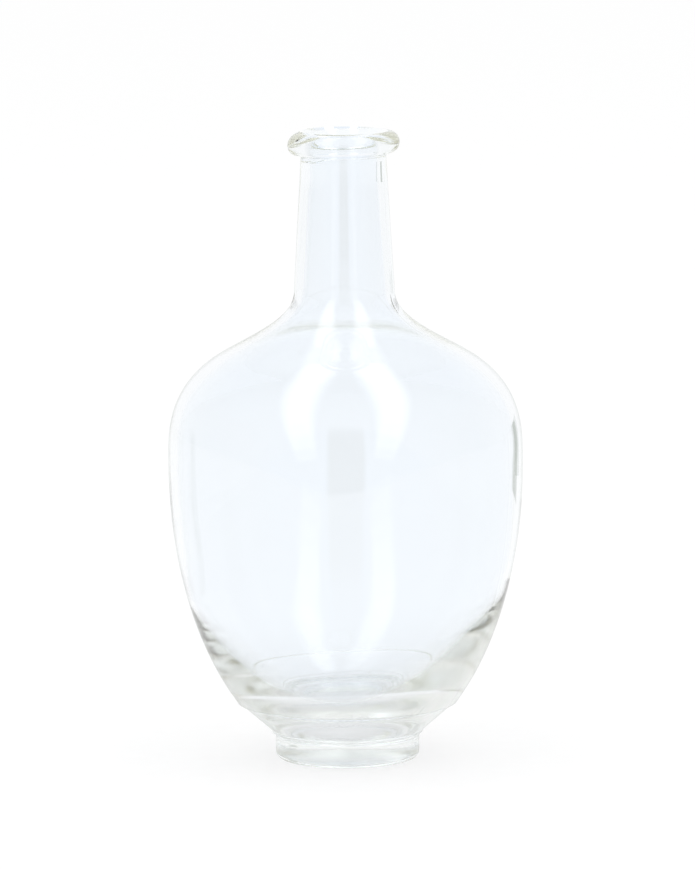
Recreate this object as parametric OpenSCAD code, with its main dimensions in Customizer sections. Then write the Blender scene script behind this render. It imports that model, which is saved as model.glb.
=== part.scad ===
// Clear glass bud vase with a barrel belly, a tapered neck and a rolled lip.
// Millimetres. +Z is up, and the origin is the centre of the base, at table level.

/* [Foot] */
// Outer radius of the foot
foot_r = 21.3; // [18:0.1:21.6]
// Height of the foot, up to the lower mould line
foot_h = 7.9; // [6:0.1:8.5]
// Radius of the rounded edge between the foot and the table
foot_edge = 2.2; // [1:0.1:3]
// Inner radius of the flat ring that bears on the table
bearing_in_r = 16.5; // [12:0.1:17]
// Rise of the hollow under the base, at its centre
punt_h = 3.0; // [1:0.1:4]

/* [Heel] */
// Outer radius at the bottom of the heel, at the lower mould line
heel_low_r = 22.0; // [21.7:0.1:24]
// Outer radius at the top of the heel, at the upper mould line
heel_top_r = 31.9; // [29:0.1:32]
// Height of the upper mould line
heel_top_z = 17.2; // [15:0.1:19]
// How far each mould line stands out from the glass
mould_line = 0.3; // [0.1:0.05:0.5]

/* [Belly] */
// Widest outer radius
belly_r = 52.5; // [48:0.5:60]
// Height of the widest point
belly_z = 90.3; // [86:0.1:94]
// Depth of the curve below the widest point, to where it would close
lower_reach = 92.4; // [90:0.1:98]
// Exponent of the curve below the widest point, 2 for an ellipse
lower_p = 2.1; // [1.9:0.05:2.4]

/* [Shoulder] */
// Height of the curve above the widest point, to where it would close
upper_reach = 39.6; // [37:0.1:42]
// Exponent of the curve above the widest point, 2 for an ellipse
upper_p = 2.7; // [2.2:0.1:3.2]
// Height at which the shoulder starts to sweep into the neck
sweep_z = 119.1; // [114:0.1:122]

/* [Neck] */
// Height at which the straight neck starts
neck_low_z = 139.2; // [137:0.1:142]
// Outer radius at the bottom of the straight neck
neck_low_r = 14.9; // [13.5:0.1:17]
// Height at which the neck meets the lip
neck_top_z = 179.5; // [170:0.5:179.5]
// Outer radius at the top of the neck
neck_top_r = 12.6; // [12:0.1:13.4]

/* [Lip] */
// Outer radius of the lip
lip_r = 16.6; // [15.6:0.1:17]
// Overall height
lip_top_z = 187.0; // [187:0.5:195]

/* [Cavity] */
// Height of the inner floor at its centre
floor_z = 10.6; // [9:0.1:14]
// How far out the floor stays flat
floor_spread = 25.0; // [15:1:30]
// Height at which the bowl of the cavity meets the plain wall
bowl_top_z = 51.0; // [45:1:70]
// How far down the bowl's wall stays steep
bowl_depth = 15.0; // [10:1:30]

/* [Glass thickness] */
// Wall thickness at the top of the bowl, where it is thinnest
bowl_wall = 2.0; // [1.8:0.1:3]
// Wall thickness at the widest point
belly_wall = 2.7; // [2.2:0.1:4]
// Wall thickness at the top of the shoulder
shoulder_wall = 3.2; // [2.5:0.1:4]
// Wall thickness at the top of the neck
neck_wall = 2.6; // [2:0.1:3]
// Depth of the straight round mouth, below the rounding of the lip
mouth_depth = 12.0; // [8:0.5:20]

/* [Hidden] */
glass = [0.86, 0.93, 0.92, 0.45];
// Points on each curved stretch of an outline, and facets round the axis in a preview
steps = 24;
facets = 96;
mouth_r = neck_top_r - neck_wall;
bead_r = (lip_r - mouth_r) / 2;
cavity_r = belly_r - belly_wall;
// How strongly the sweep keeps the shoulder's direction at its start and the neck's at its end
sweep_start = 10;
sweep_end = 9;
// Height of the step between the heel and the foot
foot_step = 0.9;
// Angle on the bead where the neck's flare joins it, and where the bead meets the mouth
bead_start = -40;
bead_end = 180;
// How strongly the flare keeps the neck's direction at its start and the bead's at its end
flare_start = 1.2;
flare_end = 1.5;

// A point on the cubic Bezier curve from p0 to p3
function bezier(p0, p1, p2, p3, t) =
    pow(1 - t, 3) * p0 + 3 * pow(1 - t, 2) * t * p1 + 3 * (1 - t) * t * t * p2 + t * t * t * p3;

// The curve as a list of points, without its first point
function bezier_curve(p0, p1, p2, p3, n = steps) =
    [for (i = [1:n]) bezier(p0, p1, p2, p3, i / n)];

// Points on an arc round the centre c
function arc(c, r, a0, a1) =
    [for (i = [0:steps]) let (a = a0 + (a1 - a0) * i / steps) c + r * [cos(a), sin(a)]];

// Radius of a curve that is r wide at its widest and closes at the given reach
function bulge(r, rise, reach, p) = r * sqrt(1 - pow(rise / reach, p));

// How fast that radius shrinks as the rise grows
function bulge_slope(r, rise, reach, p) =
    -p * pow(rise / reach, p - 1) * r * r / (2 * reach * bulge(r, rise, reach, p));

function unit(v) = v / norm(v);

function reversed(points) = [for (i = [len(points) - 1:-1:0]) points[i]];

// Outer radius of the belly below its widest point
function belly_radius(z) = bulge(belly_r, belly_z - z, lower_reach, lower_p);

// Radius of the cavity between the top of its bowl and the widest point
function wall_radius(z) =
    let (drop = (belly_z - z) / (belly_z - bowl_top_z))
    belly_radius(z) - belly_wall + (belly_wall - bowl_wall) * drop * drop;

// The shoulder's curve, outside or inside, from the widest point up to the straight neck
function shoulder_curve(r, reach, top_z, neck_r) =
    let (
        rise = top_z - belly_z,
        start = [bulge(r, rise, reach, upper_p), top_z],
        direction = unit([bulge_slope(r, rise, reach, upper_p), 1]),
        end = [neck_r, neck_low_z],
        neck_direction = unit([neck_top_r - neck_low_r, neck_top_z - neck_low_z])
    )
    concat(
        [for (i = [0:steps]) let (h = rise * i / steps) [bulge(r, h, reach, upper_p), belly_z + h]],
        bezier_curve(start, start + sweep_start * direction, end - sweep_end * neck_direction, end)
    );

// The belly's outer curve from the upper mould line to the widest point
function belly_curve() =
    [for (i = [0:steps]) let (z = heel_top_z + (belly_z - heel_top_z) * i / steps)
        [belly_radius(z), z]];

// The cavity's bowl, from the centre of the floor to the bowl's top
function bowl_curve() =
    let (
        rim = [wall_radius(bowl_top_z), bowl_top_z],
        taper = 2 * (belly_wall - bowl_wall) / (belly_z - bowl_top_z),
        slope = -bulge_slope(belly_r, belly_z - bowl_top_z, lower_reach, lower_p) - taper
    )
    concat(
        [[0, floor_z]],
        bezier_curve(
            [0, floor_z],
            [floor_spread, floor_z],
            rim - bowl_depth * unit([slope, 1]),
            rim,
            2 * steps
        )
    );

// The cavity's plain wall, from above the bowl's top to the widest point
function wall_curve() =
    [for (i = [1:steps / 2]) let (z = bowl_top_z + (belly_z - bowl_top_z) * i / (steps / 2))
        [wall_radius(z), z]];

// The hollow under the base, from its centre out to the bearing ring
function punt_curve() =
    [for (i = [0:steps]) let (a = 90 * i / steps) [bearing_in_r * sin(a), punt_h * cos(a)]];

module turned(points) {
    rotate_extrude($fn = facets) polygon(points);
}

// The hollow of the vase up to its widest point, and a little beyond
module lower_cavity() {
    turned(concat(bowl_curve(), wall_curve(), [[cavity_r, belly_z + 1], [0, belly_z + 1]]));
}

// Short round foot with a rounded edge, a flat bearing ring and a hollow under it
module foot() {
    edge = arc([foot_r - foot_edge, foot_edge], foot_edge, -90, 0);
    color(glass)
        turned(concat(
            punt_curve(),
            edge,
            [[foot_r, foot_h - foot_step], [heel_low_r, foot_h], [0, foot_h]]
        ));
}

// Tapered band between the two mould lines, with the inner floor in it
module heel() {
    outline = [
        [0, foot_h],
        [heel_low_r + mould_line, foot_h],
        [heel_low_r + mould_line, foot_h + mould_line],
        [heel_top_r, heel_top_z - mould_line],
        [heel_top_r + mould_line, heel_top_z],
        [0, heel_top_z]
    ];
    color(glass)
        difference() {
            turned(outline);
            lower_cavity();
        }
}

// Barrel-shaped lower body, thick at the heel and thin above it
module belly() {
    color(glass)
        difference() {
            turned(concat([[0, heel_top_z]], belly_curve(), [[0, belly_z]]));
            lower_cavity();
        }
}

// Rounded upper body that sweeps into the neck
module shoulder() {
    outside = shoulder_curve(belly_r, upper_reach, sweep_z, neck_low_r);
    inside = shoulder_curve(
        cavity_r,
        upper_reach - shoulder_wall,
        sweep_z - shoulder_wall,
        neck_low_r - neck_wall
    );
    color(glass) turned(concat(outside, reversed(inside)));
}

// Tapered tube, straight inside for the depth of the mouth
module neck() {
    color(glass)
        turned([
            [neck_low_r, neck_low_z],
            [neck_top_r, neck_top_z],
            [mouth_r, neck_top_z],
            [mouth_r, lip_top_z - bead_r - mouth_depth],
            [neck_low_r - neck_wall, neck_low_z]
        ]);
}

// Rolled lip with a straight round mouth through it
module lip() {
    centre = [lip_r - bead_r, lip_top_z - bead_r];
    join = centre + bead_r * [cos(bead_start), sin(bead_start)];
    join_direction = [-sin(bead_start), cos(bead_start)];
    start = [neck_top_r, neck_top_z];
    flare = bezier_curve(start, start + [0, flare_start], join - flare_end * join_direction, join);
    bead = arc(centre, bead_r, bead_start, bead_end);
    color(glass) turned(concat([start], flare, bead, [[mouth_r, neck_top_z]]));
}

foot();
heel();
belly();
shoulder();
neck();
lip();
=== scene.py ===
"""A clear glass bud vase: its looks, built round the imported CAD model.

The frame is the CAD model's: +Z up, and the origin at the centre of the base, at table level.
The outline is worked out in millimetres, and the mesh is built from it in metres.
"""

import math
import random

import bmesh
import bpy
from mathutils import Matrix, Vector


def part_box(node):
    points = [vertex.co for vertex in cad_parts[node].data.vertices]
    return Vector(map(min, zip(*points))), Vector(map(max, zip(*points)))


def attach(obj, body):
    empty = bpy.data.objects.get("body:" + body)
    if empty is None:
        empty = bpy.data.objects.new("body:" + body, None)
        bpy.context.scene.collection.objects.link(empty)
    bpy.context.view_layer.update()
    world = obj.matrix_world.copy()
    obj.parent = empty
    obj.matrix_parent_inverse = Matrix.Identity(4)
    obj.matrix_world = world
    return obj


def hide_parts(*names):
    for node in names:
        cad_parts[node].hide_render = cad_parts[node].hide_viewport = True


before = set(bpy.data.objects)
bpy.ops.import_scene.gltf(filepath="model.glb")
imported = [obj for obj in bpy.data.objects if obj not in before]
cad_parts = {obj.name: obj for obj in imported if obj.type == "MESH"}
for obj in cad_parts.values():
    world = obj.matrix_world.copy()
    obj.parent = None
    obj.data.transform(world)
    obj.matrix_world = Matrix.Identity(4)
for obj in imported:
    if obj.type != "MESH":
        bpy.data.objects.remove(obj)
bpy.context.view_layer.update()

MM = 0.001
NODES = ("foot", "heel", "belly", "shoulder", "neck", "lip")


def top_of(node):
    """Height of a CAD node's top, in millimetres."""
    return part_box(node)[1].z / MM


def radius_of(node):
    """Largest radius of a CAD node, in millimetres."""
    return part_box(node)[1].x / MM


# ------------------------------------------------------------------ dimensions, in millimetres

FOOT_H = top_of("foot")
HEEL_TOP = top_of("heel")
BELLY_R = radius_of("belly")
BELLY_Z = top_of("belly")
NECK_LOW_Z = top_of("shoulder")
NECK_LOW_R = radius_of("neck")
NECK_TOP_Z = top_of("neck")
LIP_R = radius_of("lip")
LIP_TOP = top_of("lip")

FOOT_R = 21.3
FOOT_EDGE = 2.2
FOOT_STEP = 0.9
BEARING_IN_R = 16.5
PUNT_H = 3.0
HEEL_LOW_R = 22.0
HEEL_TOP_R = 31.9
MOULD_LINE = 0.3
LOWER_REACH = 92.4
LOWER_P = 2.1
UPPER_REACH = 39.6
UPPER_P = 2.7
SWEEP_Z = 119.1
SWEEP_START = 10.0
SWEEP_END = 9.0
NECK_TOP_R = 12.6
FLARE_START = 1.2
FLARE_END = 1.5
# Angles on the lip's bead, in degrees: where the flare joins it, its top, and where the mouth starts
BEAD_START = -40.0
BEAD_TOP = 90
BEAD_END = 180

FLOOR_Z = 10.6
FLOOR_SPREAD = 25.0
BOWL_TOP_Z = 51.0
BOWL_DEPTH = 15.0
BOWL_WALL = 2.0
BELLY_WALL = 2.7
SHOULDER_WALL = 3.2
NECK_WALL = 2.6
MOUTH_DEPTH = 12.0

MOUTH_R = NECK_TOP_R - NECK_WALL
BEAD_R = (LIP_R - MOUTH_R) / 2
BEAD_CENTRE = Vector((LIP_R - BEAD_R, LIP_TOP - BEAD_R))
CAVITY_R = BELLY_R - BELLY_WALL

# Points on each stretch of the outline
PUNT_STEPS = 24
BEARING_STEPS = 6
EDGE_STEPS = 14
FOOT_STEPS = 6
FOOT_TOP_STEPS = 3
LOWER_LINE_STEPS = 6
HEEL_STEPS = 16
UPPER_LINE_STEPS = 8
BELLY_STEPS = 100
SHOULDER_STEPS = 44
NECK_STEPS = 24
FLARE_STEPS = 12
BEAD_STEPS = 26
BEAD_INSIDE_STEPS = 20
MOUTH_STEPS = 10
NECK_INSIDE_STEPS = 20
WALL_STEPS = 40
BOWL_STEPS = 90


# ------------------------------------------------------------------ curves of the outline

def bezier(p0, p1, p2, p3, steps):
    """Points on a cubic Bezier curve, without its first point."""
    points = []
    for i in range(1, steps + 1):
        t = i / steps
        s = 1 - t
        points.append(s ** 3 * p0 + 3 * s * s * t * p1 + 3 * s * t * t * p2 + t ** 3 * p3)
    return points


def arc(centre, radius, start, end, steps):
    """Points on an arc from one angle in degrees to another, without its first point."""
    points = []
    for i in range(1, steps + 1):
        angle = math.radians(start + (end - start) * i / steps)
        points.append(centre + radius * Vector((math.cos(angle), math.sin(angle))))
    return points


def line(start, end, steps):
    """Points on a straight line, without its first point."""
    return [start.lerp(end, i / steps) for i in range(1, steps + 1)]


def bulge(radius, rise, reach, power):
    """Radius of a curve that is widest at rise 0 and closes at the given reach."""
    return radius * math.sqrt(max(0.0, 1 - (rise / reach) ** power))


def bulge_slope(radius, rise, reach, power):
    """How fast that radius shrinks as the rise grows."""
    here = bulge(radius, rise, reach, power)
    return -power * (rise / reach) ** (power - 1) * radius ** 2 / (2 * reach * here)


def belly_radius(z):
    """Outer radius below the widest point."""
    return bulge(BELLY_R, BELLY_Z - z, LOWER_REACH, LOWER_P)


def wall_radius(z):
    """Radius of the cavity between the top of its bowl and the widest point."""
    drop = (BELLY_Z - z) / (BELLY_Z - BOWL_TOP_Z)
    return belly_radius(z) - BELLY_WALL + (BELLY_WALL - BOWL_WALL) * drop ** 2


def shoulder_curve(radius, reach, top_z, neck_r, steps):
    """From the widest point up to the straight neck, outside or inside, without its first point."""
    rise = top_z - BELLY_Z
    points = []
    for i in range(1, steps + 1):
        h = rise * i / steps
        points.append(Vector((bulge(radius, h, reach, UPPER_P), BELLY_Z + h)))
    start = points[-1]
    end = Vector((neck_r, NECK_LOW_Z))
    upwards = Vector((bulge_slope(radius, rise, reach, UPPER_P), 1)).normalized()
    neck_direction = Vector((NECK_TOP_R - NECK_LOW_R, NECK_TOP_Z - NECK_LOW_Z)).normalized()
    sweep = bezier(start, start + SWEEP_START * upwards, end - SWEEP_END * neck_direction, end, steps)
    return points + sweep


def rounded_ridge(start, end, height, steps):
    """A small round ridge between two points of the outline, without its first point."""
    along = end - start
    outwards = Vector((along.y, -along.x)).normalized()
    points = []
    for i in range(1, steps + 1):
        t = i / steps
        points.append(start + t * along + height * math.sin(math.pi * t) ** 2 * outwards)
    return points


def underside():
    """From the centre of the hollow under the base to the foot's rounded edge."""
    punt = []
    for i in range(PUNT_STEPS + 1):
        angle = math.pi / 2 * i / PUNT_STEPS
        punt.append(Vector((BEARING_IN_R * math.sin(angle), PUNT_H * math.cos(angle))))
    return punt + line(punt[-1], Vector((FOOT_R - FOOT_EDGE, 0)), BEARING_STEPS)


def outside():
    """The outer outline in named zones, from the foot's edge to the top of the lip."""
    edge = arc(Vector((FOOT_R - FOOT_EDGE, FOOT_EDGE)), FOOT_EDGE, -90, 0, EDGE_STEPS)
    foot_top = Vector((FOOT_R, FOOT_H - FOOT_STEP))
    heel_low = Vector((HEEL_LOW_R, FOOT_H))
    foot = edge + line(edge[-1], foot_top, FOOT_STEPS) + line(foot_top, heel_low, FOOT_TOP_STEPS)
    lower_line_top = heel_low + Vector((MOULD_LINE, 2 * MOULD_LINE))
    lower_line = rounded_ridge(heel_low, lower_line_top, MOULD_LINE, LOWER_LINE_STEPS)
    heel_high = Vector((HEEL_TOP_R, HEEL_TOP - MOULD_LINE))
    heel = line(lower_line[-1], heel_high, HEEL_STEPS)
    belly_low = Vector((belly_radius(HEEL_TOP + MOULD_LINE), HEEL_TOP + MOULD_LINE))
    upper_line = rounded_ridge(heel_high, belly_low, MOULD_LINE, UPPER_LINE_STEPS)
    belly = []
    for i in range(1, BELLY_STEPS + 1):
        z = belly_low.y + (BELLY_Z - belly_low.y) * i / BELLY_STEPS
        belly.append(Vector((belly_radius(z), z)))
    shoulder = shoulder_curve(BELLY_R, UPPER_REACH, SWEEP_Z, NECK_LOW_R, SHOULDER_STEPS)
    neck_top = Vector((NECK_TOP_R, NECK_TOP_Z))
    neck = line(shoulder[-1], neck_top, NECK_STEPS)
    bead_angle = math.radians(BEAD_START)
    join = BEAD_CENTRE + BEAD_R * Vector((math.cos(bead_angle), math.sin(bead_angle)))
    join_direction = Vector((-math.sin(bead_angle), math.cos(bead_angle)))
    handle = neck_top + Vector((0, FLARE_START))
    flare = bezier(neck_top, handle, join - FLARE_END * join_direction, join, FLARE_STEPS)
    lip = flare + arc(BEAD_CENTRE, BEAD_R, BEAD_START, BEAD_TOP, BEAD_STEPS)
    return [
        ("foot", foot),
        ("lower line", lower_line),
        ("heel", heel),
        ("upper line", upper_line),
        ("belly", belly),
        ("shoulder", shoulder),
        ("neck", neck),
        ("lip", lip),
    ]


def inside():
    """The inner outline in named zones, from the top of the lip to the centre of the floor."""
    lip = arc(BEAD_CENTRE, BEAD_R, BEAD_TOP, BEAD_END, BEAD_INSIDE_STEPS)
    throat = Vector((MOUTH_R, LIP_TOP - BEAD_R - MOUTH_DEPTH))
    mouth = line(lip[-1], throat, MOUTH_STEPS)
    up = shoulder_curve(
        CAVITY_R,
        UPPER_REACH - SHOULDER_WALL,
        SWEEP_Z - SHOULDER_WALL,
        NECK_LOW_R - NECK_WALL,
        SHOULDER_STEPS,
    )
    neck = line(throat, up[-1], NECK_INSIDE_STEPS)
    widest = Vector((CAVITY_R, BELLY_Z))
    shoulder = up[-2::-1] + [widest]
    wall = []
    for i in range(1, WALL_STEPS + 1):
        z = BELLY_Z + (BOWL_TOP_Z - BELLY_Z) * i / WALL_STEPS
        wall.append(Vector((wall_radius(z), z)))
    rim = wall[-1]
    taper = 2 * (BELLY_WALL - BOWL_WALL) / (BELLY_Z - BOWL_TOP_Z)
    slope = -bulge_slope(BELLY_R, BELLY_Z - BOWL_TOP_Z, LOWER_REACH, LOWER_P) - taper
    down = -Vector((slope, 1)).normalized()
    centre = Vector((0, FLOOR_Z))
    floor_edge = centre + Vector((FLOOR_SPREAD, 0))
    bowl = bezier(rim, rim + BOWL_DEPTH * down, floor_edge, centre, BOWL_STEPS)
    return [
        ("lip", lip),
        ("mouth", mouth + neck),
        ("shoulder", shoulder),
        ("wall", wall),
        ("bowl", bowl),
    ]


# ------------------------------------------------------------------ small irregularities of real glass

# Two mould seams, opposite each other: their height on the neck and heel, and on the belly
SEAMS = (math.radians(-24), math.radians(156))
SEAM_HEIGHT = 0.06
SEAM_HEIGHT_BELLY = 0.006
SEAM_WIDTH = 0.35
# Heights between which the seams rise from the foot, fade above the heel, and end under the lip
SEAM_START = (3, 8)
SEAM_FADE = (HEEL_TOP, HEEL_TOP + 8)
SEAM_END = (NECK_TOP_Z - 6, NECK_TOP_Z - 2)
# Dots round the upper mould line, and knurls across the bearing ring
STIPPLES = 90
STIPPLE_DEPTH = 0.12
KNURLS = 60
KNURL_DEPTH = 0.25
# The cavity sits off centre low down, which leaves the wall thicker on one side
THICK_SIDE = math.radians(0)
CAVITY_SHIFT = 1.6
CAVITY_SHIFT_HEIGHTS = (20, 62)
# Largest height of the long waves in each surface, and where they start
OUTER_WAVE = 0.05
OUTER_WAVE_START = (4, 20)
INNER_WAVE = 0.14
INNER_WAVE_START = (0, 8)
# What a long wave can be: its turns round the axis, its height and its weight
WAVE_TURNS = (1, 2, 3, 4, 5)
WAVE_HEIGHTS = (24, 70)
WAVE_WEIGHTS = (0.4, 1.0)
WAVE_PHASE_MAX = 6.28
# The lip droops on one side and isn't quite round
LIP_LOW_SIDE = math.radians(180)
LIP_DROOP = 0.9
LIP_WAVE = 0.15
LIP_WAVES = 3


def smooth(x, low, high):
    """0 below low, 1 above high, and a smooth change between them."""
    t = min(1.0, max(0.0, (x - low) / (high - low)))
    return t * t * (3 - 2 * t)


def turn(a, b):
    """The difference between two angles, from -pi to pi."""
    return (a - b + math.pi) % (2 * math.pi) - math.pi


def make_waves(seed, count):
    """Random long waves round the axis and along it, as (turns, height, phase, weight)."""
    rng = random.Random(seed)
    waves = []
    for _ in range(count):
        turns = rng.choice(WAVE_TURNS)
        height = rng.uniform(*WAVE_HEIGHTS)
        phase = rng.uniform(0, WAVE_PHASE_MAX)
        weight = rng.uniform(*WAVE_WEIGHTS)
        waves.append((turns, height, phase, weight))
    return waves


OUTER_WAVES = make_waves(seed=11, count=7)
INNER_WAVES = make_waves(seed=23, count=9)


def wave(waves, angle, z):
    """The waves' sum at a place, between about -1 and 1."""
    total = 0.0
    for turns, height, phase, weight in waves:
        total += weight * math.cos(turns * angle + 2 * math.pi * z / height + phase)
    return total / len(waves)


def seam_relief(angle, r, z):
    """Height of the mould seams above the glass: plain on the neck and heel, faint on the belly."""
    on_belly = smooth(z, *SEAM_FADE) * (1 - smooth(z, SWEEP_Z, NECK_LOW_Z))
    height = SEAM_HEIGHT + (SEAM_HEIGHT_BELLY - SEAM_HEIGHT) * on_belly
    relief = 0.0
    for seam in SEAMS:
        distance = turn(angle, seam) * r / SEAM_WIDTH
        relief += height * math.exp(-distance ** 2)
    return relief * smooth(z, *SEAM_START) * (1 - smooth(z, *SEAM_END))


def relief_outside(zone, p, angle):
    """Where a point of the outer outline lies once the small irregularities are on it."""
    r, z = p
    lively = OUTER_WAVE * wave(OUTER_WAVES, angle, z) * smooth(z, *OUTER_WAVE_START)
    r += seam_relief(angle, r, z) + lively
    if zone == "upper line":
        r += STIPPLE_DEPTH * (math.cos(STIPPLES * angle) - 1) / 2
    if zone == "lip":
        outer = smooth(p.x, BEAD_CENTRE.x - BEAD_R, LIP_R)
        low_side = 0.5 + 0.5 * math.cos(turn(angle, LIP_LOW_SIDE))
        z -= LIP_DROOP * outer * low_side
        r += LIP_WAVE * outer * (math.cos(LIP_WAVES * angle + 1) - 1) / 2
    return r, z


def relief_inside(zone, p, angle):
    """The same for a point of the inner outline."""
    r, z = p
    if zone in ("lip", "mouth"):
        return r, z
    ease = smooth(r, *INNER_WAVE_START)
    r += INNER_WAVE * wave(INNER_WAVES, angle, z) * ease
    return r, z


def relief_under(p, angle):
    """The knurls cut into the bearing ring, which keeps its height at their crests."""
    r, z = p
    across = (r - BEARING_IN_R) / (FOOT_R - FOOT_EDGE - BEARING_IN_R)
    if 0 < across < 1:
        z += KNURL_DEPTH * math.sin(math.pi * across) * (1 - math.cos(KNURLS * angle)) / 2
    return r, z


def cavity_shift(z):
    """Sideways shift of the cavity, whose wall is thicker on one side low down."""
    amount = CAVITY_SHIFT * (1 - smooth(z, *CAVITY_SHIFT_HEIGHTS))
    return Vector((math.cos(THICK_SIDE), math.sin(THICK_SIDE), 0)) * -amount


# ------------------------------------------------------------------ the glass

# The mesh's columns: the even ones, the extra ones beside a seam in seam widths at a radius, the least gap
ANGLES_ROUND = 360
SEAM_STEPS = (-2.2, -1.5, -1.0, -0.6, -0.3, 0, 0.3, 0.6, 1.0, 1.5, 2.2)
SEAM_STEP_R = 40.0
ANGLE_GAP = math.radians(0.12)


def angles_round():
    """Angles of the mesh's columns: even, and closer together at the seams."""
    angles = {round(2 * math.pi * i / ANGLES_ROUND, 6) for i in range(ANGLES_ROUND)}
    for seam in SEAMS:
        for step in SEAM_STEPS:
            angles.add(round((seam + step * SEAM_WIDTH / SEAM_STEP_R) % (2 * math.pi), 6))
    ordered = sorted(angles)
    kept = [ordered[0]]
    for angle in ordered[1:]:
        if angle - kept[-1] > ANGLE_GAP:
            kept.append(angle)
    return kept


def place(r, z, angle, shift=Vector((0, 0, 0))):
    """A point of the outline turned round the axis, in metres."""
    return (Vector((r * math.cos(angle), r * math.sin(angle), z)) + shift) * MM


# Roughness of the underside, of the outer heel and of the bottom of the bowl, and where the heel's ends
UNDERSIDE_FINISH = 0.30
HEEL_FINISH = 0.10
BOWL_FINISH = 0.05
FINISH_TOP = 62.0


def outer_finish(z):
    """Roughness of the outer surface: satin at the heel, polished above."""
    return HEEL_FINISH * (1 - smooth(z, HEEL_TOP, FINISH_TOP))


def inner_finish(z):
    """Roughness of the cavity: a little in the bottom of its bowl."""
    return BOWL_FINISH * (1 - smooth(z, FLOOR_Z, BOWL_TOP_Z))


def build_rings():
    """Every ring of the mesh as (points, roughness, 1 if outside), from the underside to the bowl's floor."""
    angles = angles_round()
    rings = []
    for p in underside():
        rings.append(([place(*relief_under(p, a), a) for a in angles], UNDERSIDE_FINISH, 0.0))
    for zone, points in outside():
        for p in points:
            ring = [place(*relief_outside(zone, p, a), a) for a in angles]
            rings.append((ring, outer_finish(p.y), 1.0))
    for zone, points in inside():
        for p in points:
            shift = cavity_shift(p.y)
            ring = [place(*relief_inside(zone, p, a), a, shift) for a in angles]
            rings.append((ring, inner_finish(p.y), 0.0))
    return rings


def glass_mesh():
    """One closed surface: from under the foot, up the outside, over the lip and down the inside."""
    rings = build_rings()
    bm = bmesh.new()
    finish_layer = bm.verts.layers.float.new("finish")
    outside_layer = bm.verts.layers.float.new("outside")

    def add_vert(position, finish, is_outside):
        vert = bm.verts.new(position)
        vert[finish_layer] = finish
        vert[outside_layer] = is_outside
        return vert

    rows = []
    for ring, finish, is_outside in rings[1:-1]:
        rows.append([add_vert(v, finish, is_outside) for v in ring])
    count = len(rows[0])
    low = add_vert(rings[0][0][0], *rings[0][1:])
    high = add_vert(rings[-1][0][0], *rings[-1][1:])
    for a, b in zip(rows, rows[1:]):
        for i in range(count):
            j = (i + 1) % count
            bm.faces.new((a[i], a[j], b[j], b[i]))
    for i in range(count):
        j = (i + 1) % count
        bm.faces.new((low, rows[0][j], rows[0][i]))
        bm.faces.new((high, rows[-1][i], rows[-1][j]))
    bmesh.ops.recalc_face_normals(bm, faces=bm.faces)
    for face in bm.faces:
        face.smooth = True
    return bm


# Seed bubbles: how many, their radius, height and stretch, and the glass left round each
BUBBLES = 46
BUBBLE_R = (0.05, 0.17)
BUBBLE_HEIGHTS = (14, 38)
BUBBLE_STRETCH = (1.0, 1.8)
BUBBLE_CLEAR = 0.25
BUBBLE_CLEAR_OUTSIDE = 0.55
BUBBLE_SEED = 5


def add_bubble(bm, centre, radius, stretch):
    """A closed void in the glass: its faces point into the bubble."""
    made = bmesh.ops.create_icosphere(bm, subdivisions=2, radius=radius * MM)
    size = Matrix.Diagonal((1, 1, stretch, 1))
    bmesh.ops.transform(bm, matrix=Matrix.Translation(centre * MM) @ size, verts=made["verts"])
    faces = {face for vert in made["verts"] for face in vert.link_faces}
    bmesh.ops.reverse_faces(bm, faces=list(faces))
    for face in faces:
        face.smooth = True


def cavity_outline_radius(points, z):
    """Radius of the cavity at a height, from its own outline."""
    for a, b in zip(points, points[1:]):
        if min(a.y, b.y) <= z <= max(a.y, b.y) and a.y != b.y:
            return a.x + (b.x - a.x) * (z - a.y) / (b.y - a.y)
    return 0.0


def scatter_bubbles(bm):
    """Seed bubbles in the thick glass of the heel and lower belly."""
    rng = random.Random(BUBBLE_SEED)
    bowl = [p for zone, points in inside() for p in points if zone in ("wall", "bowl")]
    made = 0
    while made < BUBBLES:
        z = rng.uniform(*BUBBLE_HEIGHTS)
        angle = rng.uniform(0, 2 * math.pi)
        radius = rng.uniform(*BUBBLE_R)
        if z < HEEL_TOP:
            outer = HEEL_LOW_R + (HEEL_TOP_R - HEEL_LOW_R) * (z - FOOT_H) / (HEEL_TOP - FOOT_H)
        else:
            outer = belly_radius(z)
        margin = CAVITY_SHIFT + radius + BUBBLE_CLEAR
        low = cavity_outline_radius(bowl, z) + margin
        high = outer - radius - BUBBLE_CLEAR_OUTSIDE
        if low >= high:
            continue
        r = rng.uniform(low, high)
        centre = Vector((r * math.cos(angle), r * math.sin(angle), z))
        add_bubble(bm, centre, radius, rng.uniform(*BUBBLE_STRETCH))
        made += 1


GLASS_TINT = (0.943, 0.966, 0.990, 1)
# Painted shade: a dark grey-green painted into the outer surface's colour where it turns away from the view,
# drawing a dark outline along the glass's edges
EDGE_PAINTED_SHADE = (0.30, 0.36, 0.34, 1)
# How far a surface turns away before the painted edge shade starts, and where it is full
EDGE_FACING = (0.80, 0.94)
GLASS_IOR = 1.52
# Each channel is absorbed at its distance from 1 times the density, per metre of glass
GLASS_BODY = (0.93, 0.92, 0.84, 1)
GLASS_DENSITY = 10.0
# Patchy haze on the polished surface
HAZE_SCALE = 55.0
HAZE_DETAIL = 3.0
HAZE_RANGE = (0.45, 0.75)
HAZE_ROUGHNESS = 0.02
# Shallow ripples of the surface
RIPPLE_SCALE = 38.0
RIPPLE_DETAIL = 1.0
RIPPLE_STRENGTH = 0.35
RIPPLE_DEPTH = 0.0004


def socket(node, name, value):
    """Set a node's input by its name."""
    node.inputs[name].default_value = value


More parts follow.
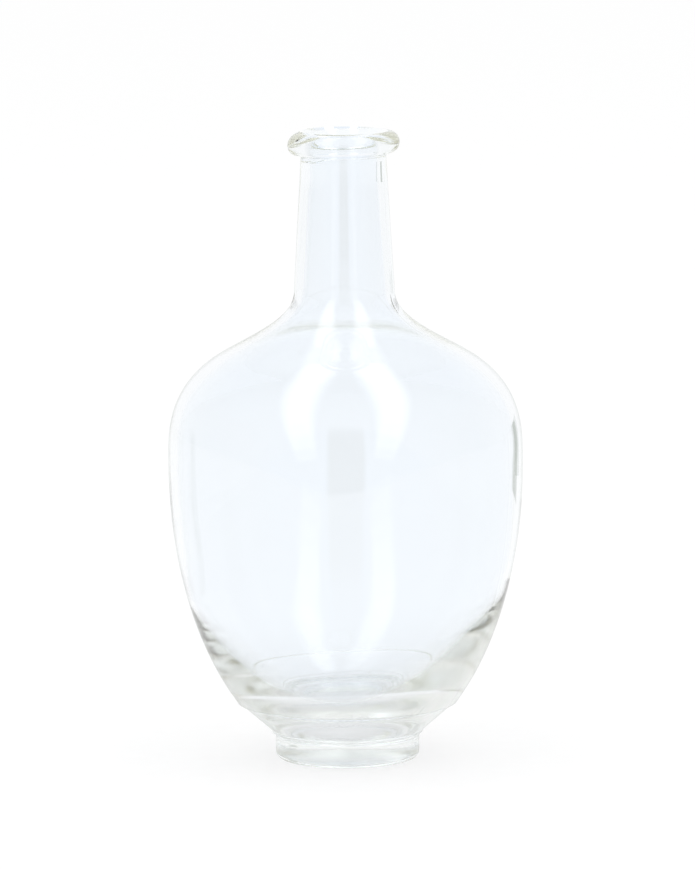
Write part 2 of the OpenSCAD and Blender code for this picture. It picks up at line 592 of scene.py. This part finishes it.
def glass_material():
    """Clear soda-lime glass: polished, satin below, faintly wavy, greyer in thick stretches, and with painted
    shade darkening its outer edges.
    """
    material = bpy.data.materials.new("bud_vase_glass")
    material.use_nodes = True
    nodes = material.node_tree.nodes
    link = material.node_tree.links.new
    shader = nodes["Principled BSDF"]
    socket(shader, "IOR", GLASS_IOR)
    socket(shader, "Transmission Weight", 1.0)
    place_node = nodes.new("ShaderNodeTexCoord")

    # Painted shade: the outer surface's colour is mixed towards the dark edge colour as it turns away from
    # the view, a dark outline painted in
    facing = nodes.new("ShaderNodeLayerWeight")
    rim = nodes.new("ShaderNodeMapRange")
    rim.interpolation_type = "SMOOTHSTEP"
    socket(rim, "From Min", EDGE_FACING[0])
    socket(rim, "From Max", EDGE_FACING[1])
    outside_layer = nodes.new("ShaderNodeAttribute")
    outside_layer.attribute_name = "outside"
    outer_edge_painted_shade = nodes.new("ShaderNodeMath")
    outer_edge_painted_shade.operation = "MULTIPLY"
    tint_and_edge_shade = nodes.new("ShaderNodeMix")
    tint_and_edge_shade.data_type = "RGBA"
    tint_and_edge_shade.inputs["A"].default_value = GLASS_TINT
    tint_and_edge_shade.inputs["B"].default_value = EDGE_PAINTED_SHADE
    link(facing.outputs["Facing"], rim.inputs["Value"])
    link(rim.outputs["Result"], outer_edge_painted_shade.inputs[0])
    link(outside_layer.outputs["Fac"], outer_edge_painted_shade.inputs[1])
    link(outer_edge_painted_shade.outputs[0], tint_and_edge_shade.inputs["Factor"])
    link(tint_and_edge_shade.outputs["Result"], shader.inputs["Base Color"])

    haze = nodes.new("ShaderNodeTexNoise")
    socket(haze, "Scale", HAZE_SCALE)
    socket(haze, "Detail", HAZE_DETAIL)
    spread = nodes.new("ShaderNodeMapRange")
    socket(spread, "From Min", HAZE_RANGE[0])
    socket(spread, "From Max", HAZE_RANGE[1])
    socket(spread, "To Min", 0.0)
    socket(spread, "To Max", HAZE_ROUGHNESS)
    finish = nodes.new("ShaderNodeAttribute")
    finish.attribute_name = "finish"
    roughness = nodes.new("ShaderNodeMath")
    roughness.operation = "ADD"
    link(place_node.outputs["Object"], haze.inputs["Vector"])
    link(haze.outputs["Fac"], spread.inputs["Value"])
    link(spread.outputs["Result"], roughness.inputs[0])
    link(finish.outputs["Fac"], roughness.inputs[1])
    link(roughness.outputs[0], shader.inputs["Roughness"])

    ripple = nodes.new("ShaderNodeTexNoise")
    socket(ripple, "Scale", RIPPLE_SCALE)
    socket(ripple, "Detail", RIPPLE_DETAIL)
    bump = nodes.new("ShaderNodeBump")
    socket(bump, "Strength", RIPPLE_STRENGTH)
    socket(bump, "Distance", RIPPLE_DEPTH)
    link(place_node.outputs["Object"], ripple.inputs["Vector"])
    link(ripple.outputs["Fac"], bump.inputs["Height"])
    link(bump.outputs["Normal"], shader.inputs["Normal"])

    absorb = nodes.new("ShaderNodeVolumeAbsorption")
    socket(absorb, "Color", GLASS_BODY)
    socket(absorb, "Density", GLASS_DENSITY)
    link(absorb.outputs["Volume"], nodes["Material Output"].inputs["Volume"])
    return material


def make_vase():
    """The vase as one glass piece, which stands in for all of the CAD model's zones."""
    bm = glass_mesh()
    scatter_bubbles(bm)
    mesh = bpy.data.meshes.new("vase_glass")
    bm.to_mesh(mesh)
    bm.free()
    mesh.materials.append(glass_material())
    vase = bpy.data.objects.new("vase_glass", mesh)
    bpy.context.scene.collection.objects.link(vase)
    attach(vase, "root")
    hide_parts(*NODES)


# ------------------------------------------------------------------ studio

# Metres from the vase to the floor's sides and back, and to its front edge
FLOOR_REACH = 4.0
FLOOR_FRONT = -0.55
FLOOR_GLOW = 0.78
FLOOR_TONES = ((0.20, 0.20, 0.20, 1), (0.22, 0.22, 0.22, 1))
FLOOR_GRAIN = 900.0
FLOOR_ROUGHNESS = 0.9


def floor_material():
    """Matt white acrylic, lit from below as on a light table."""
    material = bpy.data.materials.new("white_acrylic")
    material.use_nodes = True
    nodes = material.node_tree.nodes
    link = material.node_tree.links.new
    shader = nodes["Principled BSDF"]
    socket(shader, "Roughness", FLOOR_ROUGHNESS)
    socket(shader, "Specular IOR Level", 0.0)
    socket(shader, "Emission Color", (1, 1, 1, 1))
    socket(shader, "Emission Strength", FLOOR_GLOW)
    grain = nodes.new("ShaderNodeTexNoise")
    socket(grain, "Scale", FLOOR_GRAIN)
    tone = nodes.new("ShaderNodeValToRGB")
    for element, colour in zip(tone.color_ramp.elements, FLOOR_TONES):
        element.color = colour
    link(grain.outputs["Fac"], tone.inputs["Fac"])
    link(tone.outputs["Color"], shader.inputs["Base Color"])
    return material


def flat_mesh(name, corners, material):
    """A single rectangle, given its four corners."""
    mesh = bpy.data.meshes.new(name)
    mesh.from_pydata(corners, [], [(0, 1, 2, 3)])
    mesh.materials.append(material)
    return mesh


def make_floor():
    """A table top that runs far back behind the vase and ends a little in front of it."""
    corners = [
        (-FLOOR_REACH, FLOOR_FRONT, 0),
        (FLOOR_REACH, FLOOR_FRONT, 0),
        (FLOOR_REACH, FLOOR_REACH, 0),
        (-FLOOR_REACH, FLOOR_REACH, 0),
    ]
    floor = bpy.data.objects.new("floor", flat_mesh("floor", corners, floor_material()))
    bpy.context.scene.collection.objects.link(floor)


# Metres, and a direction from the backdrop towards +X
CARD_AZIMUTH = math.radians(34)
CARD_FROM = Vector((0.048, 0.02, 0))
CARD_DISTANCE = 0.45
CARD_WIDTH = 0.085
CARD_HEIGHTS = (0.010, 0.104)
CARD_TONE = (0.56, 0.59, 0.55, 1)


def card_material():
    """An even grey, the same from every side."""
    material = bpy.data.materials.new("grey_card")
    material.use_nodes = True
    nodes = material.node_tree.nodes
    nodes.clear()
    tone = nodes.new("ShaderNodeEmission")
    socket(tone, "Color", CARD_TONE)
    output = nodes.new("ShaderNodeOutputMaterial")
    material.node_tree.links.new(tone.outputs["Emission"], output.inputs["Surface"])
    return material


def make_card():
    """A low grey card behind the vase on its right, out of the picture: it draws the shoulder's edge."""
    away = Vector((math.sin(CARD_AZIMUTH), math.cos(CARD_AZIMUTH), 0))
    across = Vector((away.y, -away.x, 0)) * CARD_WIDTH / 2
    middle = CARD_FROM + CARD_DISTANCE * away
    low, high = (Vector((0, 0, z)) for z in CARD_HEIGHTS)
    left = middle - across
    right = middle + across
    corners = [left + low, right + low, right + high, left + high]
    card = bpy.data.objects.new("card", flat_mesh("card", corners, card_material()))
    card.visible_camera = False
    card.visible_shadow = False
    card.visible_diffuse = False
    bpy.context.scene.collection.objects.link(card)


# Colours of the surroundings that the glass refracts and reflects
BEHIND = (1.01, 1.01, 1.015, 1)
SIDE = (0.84, 0.86, 0.88, 1)
FRONT = (0.88, 0.93, 1.0, 1)
CAMERA_GAP = (0.50, 0.51, 0.48, 1)
ABOVE = (0.88, 0.93, 1.0, 1)
DOME = (1.0, 1.0, 1.0, 1)
# Upward slope of the direction at which the ceiling starts, and at which it is complete
CEILING_RISE = (0.30, 0.75)

# What stands round the vase, as (azimuth in degrees from the backdrop towards +X, colour)
SURROUNDINGS = (
    (-180, CAMERA_GAP), (-169, CAMERA_GAP), (-166, FRONT), (-130, FRONT), (-110, SIDE), (-80, SIDE),
    (-45, BEHIND), (60, BEHIND),
    (80, SIDE), (110, SIDE), (130, FRONT), (166, FRONT), (169, CAMERA_GAP), (180, CAMERA_GAP),
)


def make_world():
    """White for the camera, and for the glass a backdrop, greyer sides, a bluish front and ceiling.

    Matt surfaces are lit by an even dome.
    """
    world = bpy.data.worlds.new("studio")
    bpy.context.scene.world = world
    world.use_nodes = True
    nodes = world.node_tree.nodes
    link = world.node_tree.links.new
    nodes.clear()

    def math_node(operation, first, second=None):
        node = nodes.new("ShaderNodeMath")
        node.operation = operation
        link(first, node.inputs[0])
        if isinstance(second, float):
            node.inputs[1].default_value = second
        elif second is not None:
            link(second, node.inputs[1])
        return node.outputs[0]

    direction = nodes.new("ShaderNodeTexCoord")
    parts = nodes.new("ShaderNodeSeparateXYZ")
    link(direction.outputs["Generated"], parts.inputs[0])
    azimuth = math_node("ARCTAN2", parts.outputs["X"], parts.outputs["Y"])
    share = math_node("ADD", math_node("DIVIDE", azimuth, 2 * math.pi), 0.5)
    round_tone = nodes.new("ShaderNodeValToRGB")
    ramp = round_tone.color_ramp
    ramp.elements[0].color = SURROUNDINGS[0][1]
    ramp.elements[1].color = SURROUNDINGS[-1][1]
    for degrees, colour in SURROUNDINGS[1:-1]:
        ramp.elements.new(degrees / 360 + 0.5).color = colour
    link(share, round_tone.inputs["Fac"])
    rise = nodes.new("ShaderNodeMapRange")
    rise.interpolation_type = "SMOOTHSTEP"
    socket(rise, "From Min", CEILING_RISE[0])
    socket(rise, "From Max", CEILING_RISE[1])
    link(parts.outputs["Z"], rise.inputs["Value"])
    tone = nodes.new("ShaderNodeMix")
    tone.data_type = "RGBA"
    link(rise.outputs["Result"], tone.inputs["Factor"])
    link(round_tone.outputs["Color"], tone.inputs["A"])
    tone.inputs["B"].default_value = ABOVE
    seen = nodes.new("ShaderNodeLightPath")
    fill = nodes.new("ShaderNodeMix")
    fill.data_type = "RGBA"
    link(seen.outputs["Is Diffuse Ray"], fill.inputs["Factor"])
    link(tone.outputs["Result"], fill.inputs["A"])
    fill.inputs["B"].default_value = DOME
    light = nodes.new("ShaderNodeBackground")
    link(fill.outputs["Result"], light.inputs["Color"])
    backdrop = nodes.new("ShaderNodeBackground")
    socket(backdrop, "Color", (1, 1, 1, 1))
    mix = nodes.new("ShaderNodeMixShader")
    link(seen.outputs["Is Camera Ray"], mix.inputs["Fac"])
    link(light.outputs["Background"], mix.inputs[1])
    link(backdrop.outputs["Background"], mix.inputs[2])
    output = nodes.new("ShaderNodeOutputWorld")
    link(mix.outputs["Shader"], output.inputs["Surface"])


# Metres. Each softbox is a stack of panels that share their top edge, each smaller than the one behind it
SOFTBOX_TARGET = Vector((0, 0, 0.10))
SOFTBOX_DISTANCE = 1.1
SOFTBOX_GAP = 0.002
SOFTBOX_SIZE = (0.42, 3.0)
SOFTBOX_RADIANCE = 1.5
SOFTBOX_LAYERS = (1.0, 0.84, 0.68, 0.52)
SOFTBOX_RAISE = 1.3


def make_softbox(name, azimuth, elevation, lean):
    """A softbox that faces the vase: stacked panels, so that it is brightest along its middle and at its top.

    Azimuth 0 is the camera's side. All three angles are in degrees.
    """
    around = math.radians(azimuth)
    up = math.radians(elevation)
    outwards = Vector((math.cos(up) * math.sin(around), -math.cos(up) * math.cos(around), math.sin(up)))
    turned = Matrix.Rotation(math.radians(lean), 3, "Z")
    facing = (-outwards).to_track_quat("-Z", "Y").to_matrix() @ turned
    for i, share in enumerate(SOFTBOX_LAYERS):
        data = bpy.data.lights.new(f"{name}_{i}", "AREA")
        data.shape = "RECTANGLE"
        data.size = SOFTBOX_SIZE[0] * share
        data.size_y = SOFTBOX_SIZE[1] - SOFTBOX_RAISE * 2 * (1 - share)
        data.energy = math.pi * data.size * data.size_y * SOFTBOX_RADIANCE / len(SOFTBOX_LAYERS)
        light = bpy.data.objects.new(f"{name}_{i}", data)
        raised = facing @ Vector((0, SOFTBOX_RAISE * (1 - share), 0))
        distance = SOFTBOX_DISTANCE - SOFTBOX_GAP * i
        light.location = SOFTBOX_TARGET + distance * outwards + raised
        light.rotation_euler = facing.to_euler()
        bpy.context.scene.collection.objects.link(light)


SOFTBOX_AZIMUTH = 45
SOFTBOX_ELEVATION = 52
SOFTBOX_LEAN = 26


def make_lights():
    """Two tall softboxes, mirror images of each other, that rise from the camera's sides over the vase."""
    make_softbox("softbox_left", -SOFTBOX_AZIMUTH, SOFTBOX_ELEVATION, SOFTBOX_LEAN)
    make_softbox("softbox_right", SOFTBOX_AZIMUTH, SOFTBOX_ELEVATION, -SOFTBOX_LEAN)


# The lens and the sensor are in millimetres, the rest in metres
CAMERA_LENS = 283.1
CAMERA_SENSOR = 36
CAMERA_CLIP = (0.05, 50)
CAMERA_PLACE = (0.0006, -2.0, 0.385)
CAMERA_TILT = math.radians(90 - 8.2)
CAMERA_ROLL = math.radians(-0.42)


def make_camera():
    """Two metres away and slightly above, with a long lens: the vase is seen from about 8 degrees up."""
    data = bpy.data.cameras.new("camera")
    data.lens = CAMERA_LENS
    data.sensor_width = CAMERA_SENSOR
    data.clip_start, data.clip_end = CAMERA_CLIP
    camera = bpy.data.objects.new("camera", data)
    camera.location = CAMERA_PLACE
    tilt = Matrix.Rotation(CAMERA_TILT, 4, "X")
    roll = Matrix.Rotation(CAMERA_ROLL, 4, "Z")
    camera.rotation_euler = (tilt @ roll).to_euler()
    bpy.context.scene.collection.objects.link(camera)
    bpy.context.scene.camera = camera


LIGHT_BOUNCES = 64


def set_view():
    """Enough light bounces for the thick glass of the heel, and colours shown as they are."""
    scene = bpy.context.scene
    scene.view_settings.view_transform = "Standard"
    scene.cycles.max_bounces = LIGHT_BOUNCES
    scene.cycles.transmission_bounces = LIGHT_BOUNCES
    scene.cycles.glossy_bounces = LIGHT_BOUNCES


make_camera()
make_vase()
make_floor()
make_card()
make_world()
make_lights()
set_view()
